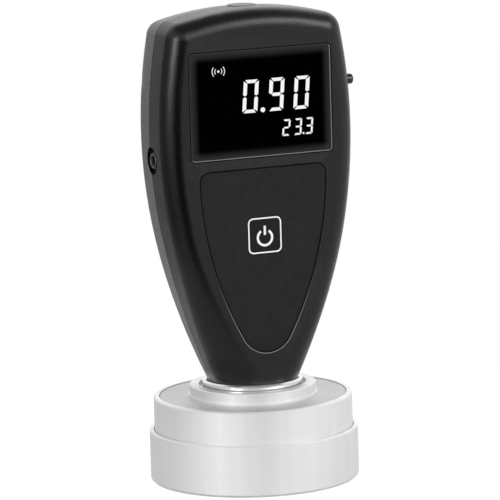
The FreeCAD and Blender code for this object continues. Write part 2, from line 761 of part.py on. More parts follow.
post_start = "-(inner_front + 0.5)"
front_posts = all_rods("board_post", "board_post_radius", post_start, "-board_front", BOARD_PLACES)
front_posts += all_rods("front_case_post", "case_post_radius", post_start, "0", CASE_PLACES)
front_pilots = all_rods("board_pilot", "small_shank", "-(board_front + board_bite)", "0", BOARD_PLACES)
front_pilots += all_rods("case_pilot", "case_shank", "-(case_bite + hole_spare)", "0", CASE_PLACES)
front_hollow = cut("front_hollow", front_outer, [above("front_cavity", front_inner, "foot_floor_top")])
front_rods = common("front_rods", fuse("front_post_rods", front_posts), front_outer)
front_blank = fuse("front_blank", [front_hollow, front_rods])
window_pocket = plate_about("window_pocket", "window_half_width", "window_half_height", "window_height",
                            "window_seat", BEYOND, "window_corner")
aperture = plate_about("aperture", "aperture_half_width", "aperture_half_height", "window_height", "0",
                       BEYOND)
overlay_pocket = overlay_slab("overlay_pocket", "overlay_gap",
                              "front_depth - overlay_sink - overlay_thickness", "front_depth + 1")
key_hole = plate_about("key_hole", "key_half + key_gap", "key_half + key_gap", "key_height", "0", BEYOND,
                       "key_corner + key_gap")
button_at = ("-button_y", "button_height")
button_hole = rod("button_hole", "button_radius + button_gap", "X", "20", BEYOND, button_at)
button_seat = rod("button_seat", "button_flange_radius + button_gap", "X", "20", "button_inner", button_at)
front_shell = cut("front_shell", front_blank, [window_pocket, aperture, overlay_pocket, key_hole, button_hole,
                                               button_seat] + front_pilots + shared_cuts)

# Rear shell with its screw posts, the battery bay and the seat of the door

rear_posts = all_rods("rear_case_post", "case_post_radius + 0.4", "0", "inner_rear + 0.5", CASE_PLACES)
rear_holes = all_rods("rear_clearance", "case_shank + 0.3", "-1", BEYOND, CASE_PLACES)
rear_holes += all_rods("rear_sink", "case_head_radius + 0.25", "case_seat", BEYOND, CASE_PLACES)
bay_out = "bay_half + bay_wall"
bay_reach = box("bay_reach", ("-(%s)" % bay_out, "0", "bay_bottom"),
                (bay_out, "rear_depth", "door_top + bay_wall"))
bay_front = box("bay_front", ("-(%s)" % bay_out, "bay_floor_top - bay_wall", "bay_bottom"),
                (bay_out, "bay_wall", "bay_top"))
bay_space = box("bay_space", ("-bay_half", "bay_floor_top", "bay_bottom + bay_wall"),
                ("bay_half", BEYOND, "bay_top - bay_wall"))
above_bay = box("above_bay", ("-" + BEYOND, "-1", "bay_top"),
                (BEYOND, "door_under - bay_wall", BEYOND + " + 120"))
door_pocket = box("door_pocket", ("-(door_half + door_gap)", "door_under", "door_foot - door_gap"),
                  ("door_half + door_gap", BEYOND, "door_top + door_gap"))
slot_half = "door_tab_half + door_tab_gap"
tab_slots = [box("tab_slot_%d" % number, (x + " - (%s)" % slot_half, "door_under - door_tab_swing",
                                          "door_foot - door_tab_length - door_tab_gap"),
                 (x + " + %s" % slot_half, "door_under + 0.1", "bay_bottom + bay_wall + 0.1"))
             for number, x in enumerate(("door_tab_x", "-door_tab_x"), 1)]
latch_reach = "latch_half + door_tab_gap"
latch_slot = box("latch_slot", ("-(%s)" % latch_reach, "door_under - latch_depth - door_tab_gap",
                                "bay_top - bay_wall - 0.1"),
                 (latch_reach, "door_under + 0.1", "latch_low + latch_thickness + door_tab_gap"))
rear_hollow = cut("rear_hollow", rear_outer, [above("rear_cavity", rear_inner, "foot_floor_top")])
bay_block = cut("bay_block", common("bay_tall", bay_reach, rear_outer), [above_bay])
rear_rods = common("rear_rods", fuse("rear_post_rods", rear_posts), rear_outer)
rear_blank = fuse("rear_blank", [rear_hollow, rear_rods, bay_block, bay_front])
rear_shell = cut("rear_shell", rear_blank, [bay_space, door_pocket, latch_slot] + tab_slots + rear_holes
                 + shared_cuts)

# The door swings on its foot, which is rounded about the axis and hooked behind the shell by two tabs

door_panel = common("door_panel", rear_outer, fuse("door_space", [
    box("door_plate_space", ("-door_half", "door_under", "door_foot + door_thickness / 2"),
        ("door_half", BEYOND, "door_top")),
    rod("door_foot_round", "door_thickness / 2", "X", "-door_half", "door_half",
        ("door_under + door_thickness / 2", "door_foot + door_thickness / 2"))]))
door_tabs = [box("door_tab_%d" % number, (x + " - door_tab_half", "door_under - door_tab_thickness",
                                          "door_foot - door_tab_length"),
                 (x + " + door_tab_half", "door_under", "door_foot + 2"))
             for number, x in enumerate(("door_tab_x", "-door_tab_x"), 1)]
latch = box("latch", ("-latch_half", "door_under - latch_depth", "latch_low"),
            ("latch_half", "door_under + 0.2", "latch_low + latch_thickness"))
thumb_rest = rod("thumb_rest", "thumb_radius", "X", "-latch_half", "latch_half",
                 ("rear_depth - thumb_depth + thumb_radius", "bay_top - thumb_radius / 2"))
battery_door = cut("battery_door", fuse("door_blank", [door_panel, latch] + door_tabs), [thumb_rest])

# Cells, alternately one end and the other up, with their springs and contacts

CELLS = [("-1.5 * cell_pitch", 1), ("-0.5 * cell_pitch", -1),
         ("0.5 * cell_pitch", 1), ("1.5 * cell_pitch", -1)]


def cell(name, x, way):
    ends = ("contact_low + spring_length", "contact_high - cell_nub_height", "contact_high")
    if way < 0:
        ends = ("contact_high - spring_length", "contact_low + cell_nub_height", "contact_low")
    can = rod(name + "_can", "cell_radius", "Z", *sorted(ends[:2], key=value), (x, "cell_y"))
    nub = rod(name + "_nub", "cell_nub_radius", "Z", *sorted(ends[1:], key=value), (x, "cell_y"))
    return fuse(name, [can, nub])


def spring(name, x, way):
    # A bowed leaf that stands on a contact and presses on the flat end of a cell
    base = "contact_low" if way > 0 else "contact_high"
    bow = cut(name + "_bow", rod(name + "_outside", "spring_length", "Y", "cell_y - leaf_half",
                                 "cell_y + leaf_half", (x, base)),
              [rod(name + "_inside", "spring_length - leaf_thickness", "Y", "cell_y - leaf_half - 1",
                   "cell_y + leaf_half + 1", (x, base))])
    low, high = sorted([base, "%s + %d * (spring_length + 1)" % (base, way)], key=value)
    space = box(name + "_space", (x + " - 6", "cell_y - 5", low), (x + " + 6", "cell_y + 5", high))
    return common(name, bow, space)


battery_cells = group("battery_cells", [cell("cell_%d" % n, x, way) for n, (x, way) in enumerate(CELLS, 1)])
battery_springs = group("battery_springs",
                        [spring("spring_%d" % n, x, way) for n, (x, way) in enumerate(CELLS, 1)])


def contact(name, left, right, low):
    return box(name, (left + " - contact_half", "cell_y - contact_half", low),
               (right + " + contact_half", "cell_y + contact_half", low + " + contact_thickness"))


battery_contacts = group("battery_contacts", [
    contact("contact_a", CELLS[0][0], CELLS[1][0], "contact_low - contact_thickness"),
    contact("contact_b", CELLS[2][0], CELLS[3][0], "contact_low - contact_thickness"),
    contact("contact_c", CELLS[0][0], CELLS[0][0], "contact_high"),
    contact("contact_d", CELLS[1][0], CELLS[2][0], "contact_high"),
    contact("contact_e", CELLS[3][0], CELLS[3][0], "contact_high")])

# Window, overlay, power key and its plunger

display_window = plate_about("display_window", "window_half_width - window_gap",
                             "window_half_height - window_gap", "window_height", "window_seat",
                             "window_seat + window_thickness", "window_corner - window_gap")
overlay_face = "front_depth - overlay_sink"
overlay_sheet = overlay_slab("overlay_sheet", "0", overlay_face + " - overlay_thickness", overlay_face)
keypad_overlay = cut("keypad_overlay", overlay_sheet, [key_hole])
key_cap = plate_about("key_cap", "key_half", "key_half", "key_height", "key_back", "front_depth - key_sink",
                      "key_corner")
key_flange_plate = plate_about("key_flange_plate", "key_half + key_flange", "key_half + key_flange",
                               "key_height", "key_back", "inner_front")
power_key = fuse("power_key", [key_cap, key_flange_plate])
power_plunger = rod("power_plunger", "plunger_radius", "Y", "-key_back", "-(switch_top - plunger_entry)",
                    ("0", "key_height"))
power_switch = cut("power_switch", plate_about("switch_body", "switch_half", "switch_half", "key_height",
                                               "board_front", "switch_top"),
                   [rod("switch_bore", "plunger_radius + play", "Y", "-(switch_top + 1)",
                        "-(switch_top - plunger_bore_depth)", ("0", "key_height"))])

# Side button, its plunger and switch

button_tip = "button_wall + button_out"
button_pin = rod("button_pin", "button_radius", "X", "button_inner - 0.1", button_tip, button_at)
button_flange = rod("button_flange", "button_flange_radius", "X", "button_inner - button_flange_thickness",
                    "button_inner", button_at)
doc.recompute()
button_round = doc.addObject("Part::Fillet", "button_round")
button_round.Base = button_pin
button_round.Edges = [(number, value("button_dome"), value("button_dome"))
                      for number, edge in enumerate(button_pin.Shape.Edges, 1)
                      if abs(edge.CenterOfMass.x - value(button_tip)) < 1e-3]
side_button = fuse("side_button", [button_round, button_flange])
side_plunger = rod("side_plunger", "side_plunger_radius", "X", "side_switch_end - plunger_entry",
                   "button_inner - button_flange_thickness", button_at)
side_switch_face = "-(board_front + 2 * side_switch_half)"
side_switch = cut("side_switch", box(
    "side_switch_body", ("side_switch_x", side_switch_face, "button_height - switch_half"),
    ("side_switch_end", "-board_front", "button_height + switch_half")),
    [rod("side_switch_bore", "side_plunger_radius + play", "X", "side_switch_end - plunger_bore_depth",
         BEYOND, button_at)])

# Data jack and the plug that closes the top opening

data_jack = cut("data_jack", fuse("jack_blank", [
    box("jack_body_block", ("-jack_body", "jack_y - jack_half", "jack_height - jack_half"),
        ("jack_body_length - jack_body", "jack_y + jack_half", "jack_height + jack_half")),
    rod("jack_nose", "jack_nose_radius", "X", "-jack_mouth", "-jack_body", jack_at)]),
    [rod("jack_socket", "jack_bore", "X", "-" + BEYOND, "jack_body_length - 1 - jack_body", jack_at)])

plug_foot = "top_height - wall - 7 * plug_gap - plug_barb_height"
plug_turn = turned("plug_turn", [
    ("0", plug_foot), ("plug_neck_radius + plug_barb", plug_foot),
    ("plug_neck_radius + plug_barb", plug_foot + " + plug_barb_height"),
    ("plug_neck_radius", plug_foot + " + plug_barb_height"), ("plug_neck_radius", "top_height - plug_seat"),
    ("plug_radius", "top_height - plug_seat"), ("plug_radius", "top_height + plug_rise / 2"),
    ("plug_radius - plug_rise / 2", "top_height + plug_rise"), ("0", "top_height + plug_rise")])
top_plug = cut("top_plug", plug_turn, [box(
    "plug_notch_cut", ("plug_radius - plug_notch", "-plug_notch", "top_height - plug_seat + 0.3"),
    (BEYOND, "plug_notch", "200"))])

# Display stack, board and the parts on it

lcd_back = "inner_front - lcd_thickness"
lcd_panel = plate_about("lcd_panel", "lcd_half_width", "lcd_half_height", "window_height", lcd_back,
                        "inner_front")
lcd_frame = cut("lcd_frame", plate_about(
    "lcd_frame_block", "lcd_half_width + play + frame_wall", "lcd_half_height + play + frame_wall",
    "window_height", "board_front", "inner_front"), [plate_about(
        "lcd_frame_space", "lcd_half_width + play", "lcd_half_height + play", "window_height", "0", BEYOND)])
backlight = plate_about("backlight", "lcd_half_width - backlight_inset", "lcd_half_height - backlight_inset",
                        "window_height", "board_front", lcd_back)
strip_low = "(lcd_half_height - strip_inset - strip_width)"
zebra_strips = group("zebra_strips", [
    box("strip_top", ("-(lcd_half_width - 1)", "-(%s)" % lcd_back, "window_height + " + strip_low),
        ("lcd_half_width - 1", "-board_front", "window_height + lcd_half_height - strip_inset")),
    box("strip_foot", ("-(lcd_half_width - 1)", "-(%s)" % lcd_back,
                       "window_height - lcd_half_height + strip_inset"),
        ("lcd_half_width - 1", "-board_front", "window_height - " + strip_low))])

board_plan = Part.Face(outline(value("wall + board_margin"), -value("board_front")))
board_outline = form("board_outline", board_plan.extrude(Vector(0, value("board_thickness"), 0)))
board_blank = common("board_blank", board_outline, box(
    "board_space", ("-" + BEYOND, "-" + BEYOND, "board_bottom"), (BEYOND, BEYOND, "board_top")))
board_notch = rod("board_notch", "button_flange_radius + 3 * button_gap", "X",
                  "button_inner - button_flange_thickness - 1", BEYOND, button_at)
board_holes = all_rods("board_hole", "small_shank + 0.2", "-" + BEYOND, BEYOND, BOARD_PLACES)
main_board = cut("main_board", board_blank, board_holes + [board_notch])
board_screws = group("board_screws", [screw("board_screw_%d" % n, "small", "Y", at, "-board_back", -1,
                                            "board_thickness + board_bite")
                                      for n, at in enumerate(BOARD_PLACES, 1)])
case_screws = group("case_screws", [screw("case_screw_%d" % n, "case", "Y", at, "case_seat", -1,
                                          "case_seat + case_bite") for n, at in enumerate(CASE_PLACES, 1)])


def on_board(name, x, z, half, height):
    return box(name, ("%s - %s" % (x, half), "-(board_front + %s)" % height, "%s - %s" % (z, half)),
               ("%s + %s" % (x, half), "-board_front", "%s + %s" % (z, half)))


board_chips = group("board_chips", [
    on_board("controller", "0", "chip_z", "chip_half", "chip_thickness"),
    on_board("amplifier", "-amplifier_x", "amplifier_z", "amplifier_half", "chip_thickness"),
    rod("capacitor", "capacitor_radius", "Y", "-(board_front + capacitor_length)", "-board_front",
        ("capacitor_x", "capacitor_z"))])
board_connector = box("board_connector", ("-connector_half_width", "-board_back", "connector_bottom"),
                      ("connector_half_width", "connector_depth - board_back",
                       "connector_bottom + connector_height"))
buzzer = cut("buzzer", rod("buzzer_can", "buzzer_radius", "Y", "-board_back", "buzzer_length - board_back",
                           ("buzzer_x", "buzzer_z")),
             [rod("buzzer_mouth", "buzzer_hole", "Y", "buzzer_length - board_back - 2", BEYOND,
                  ("buzzer_x", "buzzer_z"))])

NODES = [sample_cup, sample_dish, measuring_head, head_seal, head_plate, sensor_guard, sensor_board,
         humidity_sensor, temperature_sensor, sensor_socket, sensor_lead, sensor_screws, head_screws,
         head_collar, neck_ring, neck_screws, front_shell, rear_shell, battery_door, battery_cells,
         battery_springs, battery_contacts, display_window, keypad_overlay, power_key, power_plunger,
         power_switch, side_button, side_plunger, side_switch, data_jack, top_plug, lcd_panel, lcd_frame,
         backlight, zebra_strips, main_board, board_screws, case_screws, board_chips, board_connector, buzzer]

doc.recompute()
for obj in doc.Objects:
    if "Invalid" in obj.State or "Error" in obj.State:
        raise RuntimeError("%s is %s" % (obj.Name, obj.State))
os.makedirs("parts", exist_ok=True)
for node in NODES:
    shape = node.Shape
    if shape.isNull() or not shape.isValid():
        raise RuntimeError("%s has no valid shape" % node.Name)
    node.Label = node.Name
    shape.exportStep("parts/%s.step" % node.Name)
    extent = shape.BoundBox
    print("%-20s %2d solids %9.1f mm3  z %.2f to %.2f" % (
        node.Name, len(shape.Solids), shape.Volume, extent.ZMin, extent.ZMax))
lead_section = math.pi * value("lead_radius") ** 2
print("lead: straight, volume / (section x length) = %.4f" % (
    sensor_lead.Shape.Volume / (lead_section * value("connector_bottom - socket_top"))))
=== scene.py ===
import math

import bmesh
import bpy
from mathutils import Matrix, Vector


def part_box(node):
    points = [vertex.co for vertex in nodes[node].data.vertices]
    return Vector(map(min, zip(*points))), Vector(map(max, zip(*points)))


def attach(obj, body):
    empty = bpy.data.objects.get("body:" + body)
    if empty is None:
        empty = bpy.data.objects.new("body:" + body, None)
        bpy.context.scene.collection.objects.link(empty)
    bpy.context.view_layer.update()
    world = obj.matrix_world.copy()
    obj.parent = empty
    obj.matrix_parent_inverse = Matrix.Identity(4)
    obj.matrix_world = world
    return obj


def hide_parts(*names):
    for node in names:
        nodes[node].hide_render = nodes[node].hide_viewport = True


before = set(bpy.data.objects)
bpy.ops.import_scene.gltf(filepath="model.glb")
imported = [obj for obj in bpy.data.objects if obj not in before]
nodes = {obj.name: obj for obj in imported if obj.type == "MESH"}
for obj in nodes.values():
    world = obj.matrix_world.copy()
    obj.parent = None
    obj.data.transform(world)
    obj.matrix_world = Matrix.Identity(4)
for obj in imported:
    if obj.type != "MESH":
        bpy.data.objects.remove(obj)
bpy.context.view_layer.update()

mm = 0.001
# How far, in mm, a laid or printed shape reaches into the surface under it
sunk = 0.005
# How near, in m, two corners are one and a corner is on a face
sameCorner, sameFace = 1e-7, 1e-6

# The photo's camera, in degrees and metres
view = {"azimuth": -23.2125, "elevation": 9.5813, "roll": -1.6959, "distance": 1.41918,
        "lens": 322.7, "sensor": 36.0, "clip": (0.05, 20.0), "target": (0.000504, 0.0, 0.072913)}

# Directions are (azimuth, elevation) in degrees, azimuth counted from the front towards +X
studio = {"wallLevel": 0.85, "floorRadius": 0.18, "floorSides": 64, "floorTone": 0.6, "floorRoughness": 0.8,
          "floorGlow": 1.24, "floorWhite": 0.74, "floorMirrored": 0.1}
# Where the room is darker or lighter: direction, angle of the full effect, angle where it ends, factor
roomTones = {"camera": ((-12, -10), 15, 33, 0.0), "table": ((-60, -50), 25, 58, 0.4),
             "ceiling": ((15, 85), 28, 46, 0.35), "rightWall": ((85, -5), 35, 65, 1.1),
             "backWall": ((165, 20), 22, 45, 1.15), "leftBack": ((-128, -24), 30, 55, 0.35),
             "rim": ((143, 42), 12, 30, 1.8), "frontFill": ((14, 22), 10, 25, 2.5)}
lamps = {"leftSoftbox": {"power": 3.0, "size": (0.4, 0.28), "direction": (-60, 13)},
         "rightSoftbox": {"power": 2.4, "size": (0.35, 0.42), "direction": (37, 26)}}
lampAim, lampDistance = (0, 0, 0.12), 1.0


# Helpers for node trees

def feed(tree, socket, value):
    # Gives a socket a plain value or another node's output
    if isinstance(value, bpy.types.NodeSocket):
        tree.links.new(value, socket)
    else:
        socket.default_value = value


def compute(tree, operation, *values):
    node = tree.nodes.new("ShaderNodeMath")
    node.operation = operation
    for socket, value in zip(node.inputs, values):
        feed(tree, socket, value)
    return node.outputs["Value"]


def fade(tree, source, start, end, low=0.0, high=1.0, smooth=False):
    # Goes from low to high while the source goes from start to end
    ramp = tree.nodes.new("ShaderNodeMapRange")
    if smooth:
        ramp.interpolation_type = "SMOOTHSTEP"
    for name, value in (("Value", source), ("From Min", start), ("From Max", end), ("To Min", low),
                        ("To Max", high)):
        feed(tree, ramp.inputs[name], value)
    return ramp.outputs["Result"]


def mixColors(tree, factor, low, high):
    mix = tree.nodes.new("ShaderNodeMix")
    mix.data_type = "RGBA"
    for name, value in (("Factor", factor), ("A", low), ("B", high)):
        feed(tree, mix.inputs[name], value)
    return mix.outputs["Result"]


def noise(tree, place, scale, detail=2.0, roughness=0.5, dimensions="3D"):
    node = tree.nodes.new("ShaderNodeTexNoise")
    node.noise_dimensions = dimensions
    for name, value in (("Vector", place), ("Scale", scale), ("Detail", detail), ("Roughness", roughness)):
        feed(tree, node.inputs[name], value)
    return node.outputs["Fac"]


def objectPlace(tree):
    # The object's own coordinates, whole and by axis
    where, parts = tree.nodes.new("ShaderNodeTexCoord"), tree.nodes.new("ShaderNodeSeparateXYZ")
    tree.links.new(where.outputs["Object"], parts.inputs[0])
    return where.outputs["Object"], parts.outputs


def maskGroup(name, inputs, outputs):
    # An empty shader group with float sockets; inputs come with their first values
    tree = bpy.data.node_groups.new(name, "ShaderNodeTree")
    for label, value in inputs.items():
        tree.interface.new_socket(label, in_out="INPUT", socket_type="NodeSocketFloat").default_value = value
    for label in outputs:
        tree.interface.new_socket(label, in_out="OUTPUT", socket_type="NodeSocketFloat")
    return tree, tree.nodes.new("NodeGroupInput"), tree.nodes.new("NodeGroupOutput")


def placeGroup(tree, group, **values):
    node = tree.nodes.new("ShaderNodeGroup")
    node.node_tree = group
    for name, value in values.items():
        node.inputs[name].default_value = value
    return node.outputs


def grey(level, blue=1.0):
    return level, level, level * blue, 1


def shade(color, factor, lift=0.0):
    # A colour made lighter or darker, as the four numbers that a socket takes
    return (*[min(1.0, c * factor + lift) for c in color], 1)


# Camera, floor and light

def towards(direction):
    a, e = math.radians(direction[0]), math.radians(direction[1])
    return Vector((math.sin(a) * math.cos(e), -math.cos(a) * math.cos(e), math.sin(e)))


def makeCamera():
    back = towards((view["azimuth"], view["elevation"]))
    right = (-back).cross(Vector((0, 0, 1))).normalized()
    up = right.cross(-back)
    c, s = math.cos(math.radians(view["roll"])), math.sin(math.radians(view["roll"]))
    axes = Matrix((right * c + up * s, up * c - right * s, back)).transposed()
    cam = bpy.data.cameras.new("photoCamera")
    cam.lens, cam.sensor_width = view["lens"], view["sensor"]
    cam.clip_start, cam.clip_end = view["clip"]
    camera = bpy.data.objects.new("photoCamera", cam)
    camera.matrix_world = Matrix.Translation(Vector(view["target"]) + back * view["distance"]) @ axes.to_4x4()
    bpy.context.scene.collection.objects.link(camera)
    bpy.context.scene.camera = camera


def makeLamp(name, power, size, direction):
    lamp = bpy.data.lights.new(name, "AREA")
    lamp.shape, lamp.size, lamp.size_y, lamp.energy = "RECTANGLE", size[0], size[1], power
    back = towards(direction)
    obj = bpy.data.objects.new(name, lamp)
    obj.location = Vector(lampAim) + back * lampDistance
    obj.rotation_euler = (-back).to_track_quat("-Z", "Y").to_euler()
    bpy.context.scene.collection.objects.link(obj)


def makeRoom():
    # A pale room of uneven brightness, which the camera itself sees as plain white
    scene = bpy.context.scene
    scene.view_settings.view_transform = "Standard"
    scene.world = bpy.data.worlds.new("studioWorld")
    scene.world.use_nodes = True
    tree = scene.world.node_tree
    tree.nodes.clear()
    add, link = tree.nodes.new, tree.links.new
    where = add("ShaderNodeTexCoord")
    level = studio["wallLevel"]
    for direction, whole, end, factor in roomTones.values():
        facing = add("ShaderNodeVectorMath")
        facing.operation = "DOT_PRODUCT"
        facing.inputs[1].default_value = towards(direction)
        link(where.outputs["Generated"], facing.inputs[0])
        tone = fade(tree, facing.outputs["Value"], math.cos(math.radians(end)), math.cos(math.radians(whole)),
                    1.0, factor, smooth=True)
        level = compute(tree, "MULTIPLY", level, tone)
    seen = add("ShaderNodeLightPath").outputs
    clear = compute(tree, "MAXIMUM", seen["Is Camera Ray"], seen["Is Transmission Ray"])
    shown = add("ShaderNodeMix")
    shown.data_type = "FLOAT"
    for name, value in (("Factor", clear), ("A", level), ("B", 1.0)):
        feed(tree, shown.inputs[name], value)
    back, out = add("ShaderNodeBackground"), add("ShaderNodeOutputWorld")
    back.inputs["Color"].default_value = grey(1)
    link(shown.outputs["Result"], back.inputs["Strength"])
    link(back.outputs["Background"], out.inputs["Surface"])


def makeFloor():
    # White paper that keeps the shadow and glows a little for the camera
    bm = bmesh.new()
    bmesh.ops.create_circle(bm, cap_ends=True, radius=studio["floorRadius"], segments=studio["floorSides"])
    floor = meshPiece("floor", bm)
    paper = bpy.data.materials.new("whitePaper")
    paper.use_nodes = True
    tree = paper.node_tree
    add, link = tree.nodes.new, tree.links.new
    shader = tree.nodes["Principled BSDF"]
    shader.inputs["Base Color"].default_value = grey(studio["floorTone"])
    shader.inputs["Roughness"].default_value = studio["floorRoughness"]
    glow, both = add("ShaderNodeEmission"), add("ShaderNodeMixShader")
    glow.inputs["Strength"].default_value = studio["floorGlow"]
    seen = add("ShaderNodeLightPath").outputs
    mirrored = compute(tree, "MULTIPLY_ADD", seen["Is Glossy Ray"], studio["floorMirrored"],
                       seen["Is Camera Ray"])
    clear = compute(tree, "MAXIMUM", mirrored, seen["Is Transmission Ray"])
    link(compute(tree, "MULTIPLY", clear, studio["floorWhite"]), both.inputs["Fac"])
    link(shader.outputs["BSDF"], both.inputs[1])
    link(glow.outputs["Emission"], both.inputs[2])
    link(both.outputs["Shader"], tree.nodes["Material Output"].inputs["Surface"])
    floor.data.materials.append(paper)


# Helpers for pieces, all measures in mm; an arc takes a step for so many degrees, but not fewer than arcLeast
rounding = {"turnSteps": 48, "arcDegrees": 8, "arcLeast": 8, "cornerSteps": 6}


def meshPiece(name, bm):
    mesh = bpy.data.meshes.new(name)
    bm.to_mesh(mesh)
    bm.free()
    obj = bpy.data.objects.new(name, mesh)
    bpy.context.scene.collection.objects.link(obj)
    return obj


def raiseFaces(bm, faces, height):
    # Extrudes faces along Y
    moved = bmesh.ops.extrude_face_region(bm, geom=faces)["geom"]
    verts = [v for v in moved if isinstance(v, bmesh.types.BMVert)]
    bmesh.ops.translate(bm, vec=(0, height * mm, 0), verts=verts)


def plate(bm, corners, y0, y1):
    # A flat shape seen from the front, raised towards the viewer from y0 to y1
    raiseFaces(bm, [bm.faces.new([bm.verts.new((x * mm, y0 * mm, z * mm)) for x, z in corners])], y1 - y0)


def outlineBand(bm, outer, inner, back, front):
    # A flat band between two loops of as many corners
    loops = [[bm.verts.new((x * mm, front * mm, z * mm)) for x, z in ring] for ring in (outer, inner)]
    edges = [bm.edges.new((loop[i], loop[(i + 1) % len(loop)])) for loop in loops for i in range(len(loop))]
    raiseFaces(bm, bmesh.ops.bridge_loops(bm, edges=edges)["faces"], back - front)


def arcBand(bm, x, z, radius, stroke, start, end, face, thick):
    # A band of constant width bent round (x, z): its cross section spun about the viewing axis
    r0, r1 = (radius - stroke / 2) * mm, (radius + stroke / 2) * mm
    section = [bm.verts.new((x * mm + r, y * mm, z * mm)) for r, y in
               ((r0, face + sunk), (r1, face + sunk), (r1, face - thick), (r0, face - thick))]
    ring = bm.faces.new(section)
    centre = (x * mm, 0, z * mm)
    bmesh.ops.rotate(bm, verts=section, cent=centre, matrix=Matrix.Rotation(-math.radians(start), 3, "Y"))
    bmesh.ops.spin(bm, geom=[ring], cent=centre, axis=(0, -1, 0), angle=math.radians(end - start),
                   steps=max(rounding["arcLeast"], int(abs(end - start) / rounding["arcDegrees"])))


def fullTurn(bm, verts, closing, centre, axis):
    # Turns a profile right round; closing is its first corner again where the profile is a loop
    path = verts + closing
    edges = [bm.edges.new(pair) for pair in zip(path, path[1:])]
    bmesh.ops.spin(bm, geom=verts + edges, cent=[c * mm for c in centre], axis=axis, angle=2 * math.pi,
                   steps=rounding["turnSteps"], use_merge=True)


def roundedOblong(halfX, halfZ, corner, centre, steps=rounding["cornerSteps"]):
    corners = []
    for quarter in range(4):
        cx = (halfX - corner) * (1 if quarter in (0, 3) else -1)
        cz = (halfZ - corner) * (1 if quarter in (0, 1) else -1)
        for i in range(steps + 1):
            a = math.radians(90 * quarter + 90 * i / steps)
            corners.append((cx + corner * math.cos(a), centre + cz + corner * math.sin(a)))
    return corners


def lay(name, bm, body, finishName):
    # Puts a made shape on a body, with its finish
    bmesh.ops.remove_doubles(bm, verts=bm.verts, dist=sameCorner)
    bmesh.ops.recalc_face_normals(bm, faces=bm.faces)
    obj = meshPiece(name, bm)
    obj.data.materials.append(finishes[finishName])
    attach(obj, body)
    return obj


# Smooth shading: corners nearer than join (mm) are one, angles in degrees
shading = {"join": 0.001, "sharpFrom": 24, "bevelFrom": 35, "bevelSegments": 2}


def smoothGroup():
    # Joins loose triangles and shades them smooth up to an angle between faces
    tree = bpy.data.node_groups.new("smoothByAngle", "GeometryNodeTree")
    for side in ("INPUT", "OUTPUT"):
        tree.interface.new_socket("Geometry", in_out=side, socket_type="NodeSocketGeometry")
    tree.is_modifier = True
    add, link = tree.nodes.new, tree.links.new
    start, end = add("NodeGroupInput"), add("NodeGroupOutput")
    merge = add("GeometryNodeMergeByDistance")
    merge.inputs["Distance"].default_value = shading["join"] * mm
    angle = add("GeometryNodeInputMeshEdgeAngle")
    sharp = add("FunctionNodeCompare")
    sharp.operation = "GREATER_THAN"
    sharp.inputs["B"].default_value = math.radians(shading["sharpFrom"])
    soft, hard = add("GeometryNodeSetShadeSmooth"), add("GeometryNodeSetShadeSmooth")
    hard.domain = "EDGE"
    hard.inputs["Shade Smooth"].default_value = False
    link(start.outputs[0], merge.inputs["Geometry"])
    link(merge.outputs["Geometry"], soft.inputs["Geometry"])
    link(soft.outputs["Geometry"], hard.inputs["Geometry"])
    link(angle.outputs["Unsigned Angle"], sharp.inputs["A"])
    link(sharp.outputs["Result"], hard.inputs["Selection"])
    link(hard.outputs["Geometry"], end.inputs[0])
    return tree


def smooth(obj, edge=0.0):
    # Smooth shading and, where edge is given in mm, a small round on the corners
    obj.modifiers.new("smooth", "NODES").node_group = shadeTree
    if edge:
        bevel = obj.modifiers.new("edge", "BEVEL")
        bevel.limit_method, bevel.angle_limit = "ANGLE", math.radians(shading["bevelFrom"])
        bevel.width, bevel.segments = edge * mm, shading["bevelSegments"]
        bevel.harden_normals = bevel.use_clamp_overlap = True
    obj.modifiers.new("normals", "WEIGHTED_NORMAL").keep_sharp = True


# Shared effects; wear shows where pointiness is between bare and worn
grainLook = {"detail": 3.0, "roughness": 0.6}
wearLook = {"bare": 0.52, "worn": 0.62, "scale": 300.0, "factor": 1.25, "lift": 0.01, "metalFactor": 1.2}
# turningLook's streaks are painted reflection: upright bands of lighter and darker colour round the axis
turningLook = {"ringDetail": 2.0, "reflectionStreakScale": 9.0, "reflectionStreakDetail": 3.0, "ringShare": 0.3, "low": 0.45,
               "high": 0.85, "roughSpread": 0.05}
finishLimits = {"coatRoughness": 0.05, "smoothest": 0.02}


def grainGroup():
    # Fine mottling from the object's own coordinates, as a mask around one half; Size in mm
    tree, start, end = maskGroup("grain", {"Size": 0.3, "Contrast": 1.0}, ["Mask"])
    place, _ = objectPlace(tree)
    scale = compute(tree, "DIVIDE", 1 / mm, start.outputs["Size"])
    fine = noise(tree, place, scale, grainLook["detail"], grainLook["roughness"])
    shift = compute(tree, "SUBTRACT", fine, 0.5)
    tree.links.new(compute(tree, "MULTIPLY_ADD", shift, start.outputs["Contrast"], 0.5), end.inputs["Mask"])
    return tree


def wearGroup():
    # A mask of outer edges, broken up by noise
    tree, _, end = maskGroup("edgeWear", {}, ["Edge"])
    geometry = tree.nodes.new("ShaderNodeNewGeometry")
    place, _ = objectPlace(tree)
    rubbed = fade(tree, geometry.outputs["Pointiness"], wearLook["bare"], wearLook["worn"])
    patches = noise(tree, place, wearLook["scale"])
    tree.links.new(compute(tree, "MULTIPLY", rubbed, patches), end.inputs["Edge"])
    return tree


